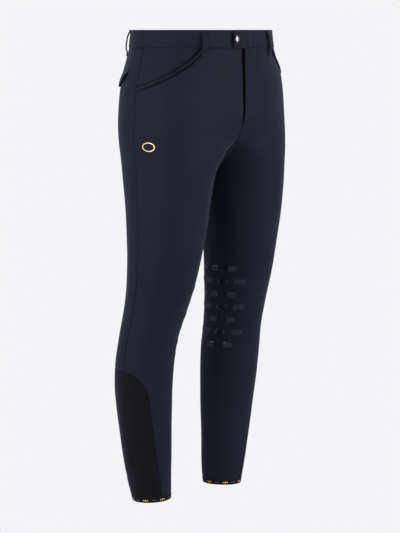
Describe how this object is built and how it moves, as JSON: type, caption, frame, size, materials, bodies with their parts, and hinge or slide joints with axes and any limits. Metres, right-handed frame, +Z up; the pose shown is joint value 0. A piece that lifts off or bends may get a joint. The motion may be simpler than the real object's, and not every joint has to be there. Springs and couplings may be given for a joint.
{
  "type": "riding breeches",
  "caption": "Men's slim riding breeches in dark stretch cloth, hollow as if worn, with a tab-fastened waistband, belt loops, curved front pockets and stretch calf inserts.",
  "frame": {"origin": "centre of the waist opening, level with the top of the waistband, where the garment is held", "axes": "+Z up towards the waist; -Y towards the wearer's front; +X towards the wearer's left"},
  "size_m": [0.3706, 0.2541, 0.935],
  "materials": {
    "breeches_cloth": "dark navy stretch cloth with a faint sheen",
    "calf_cloth": "matt black stretch cloth",
    "hem_tape": "black elastic tape with small gold and grey marks",
    "button_metal": "polished",
    "gold_print": "pale gold"
  },
  "bodies": {
    "root": {"front_panel_right": "breeches_cloth", "front_panel_left": "breeches_cloth", "back_panel_right": "breeches_cloth", "back_panel_left": "breeches_cloth", "calf_insert_right": "calf_cloth", "calf_insert_left": "calf_cloth", "hem_tape_right": "hem_tape", "hem_tape_left": "hem_tape", "pocket_facing_right": "breeches_cloth", "pocket_facing_left": "breeches_cloth", "pocket_piping_right": "breeches_cloth", "pocket_piping_left": "breeches_cloth", "back_flap_right": "breeches_cloth", "back_flap_left": "breeches_cloth", "waistband_right": "breeches_cloth", "waistband_left": "breeches_cloth", "fly_front": "breeches_cloth", "belt_loop_front_right": "breeches_cloth", "belt_loop_front_left": "breeches_cloth", "belt_loop_back_right": "breeches_cloth", "belt_loop_back_left": "breeches_cloth", "belt_loop_centre_back": "breeches_cloth", "waist_button": "button_metal", "thigh_oval": "gold_print"}
  },
  "joints": []
}
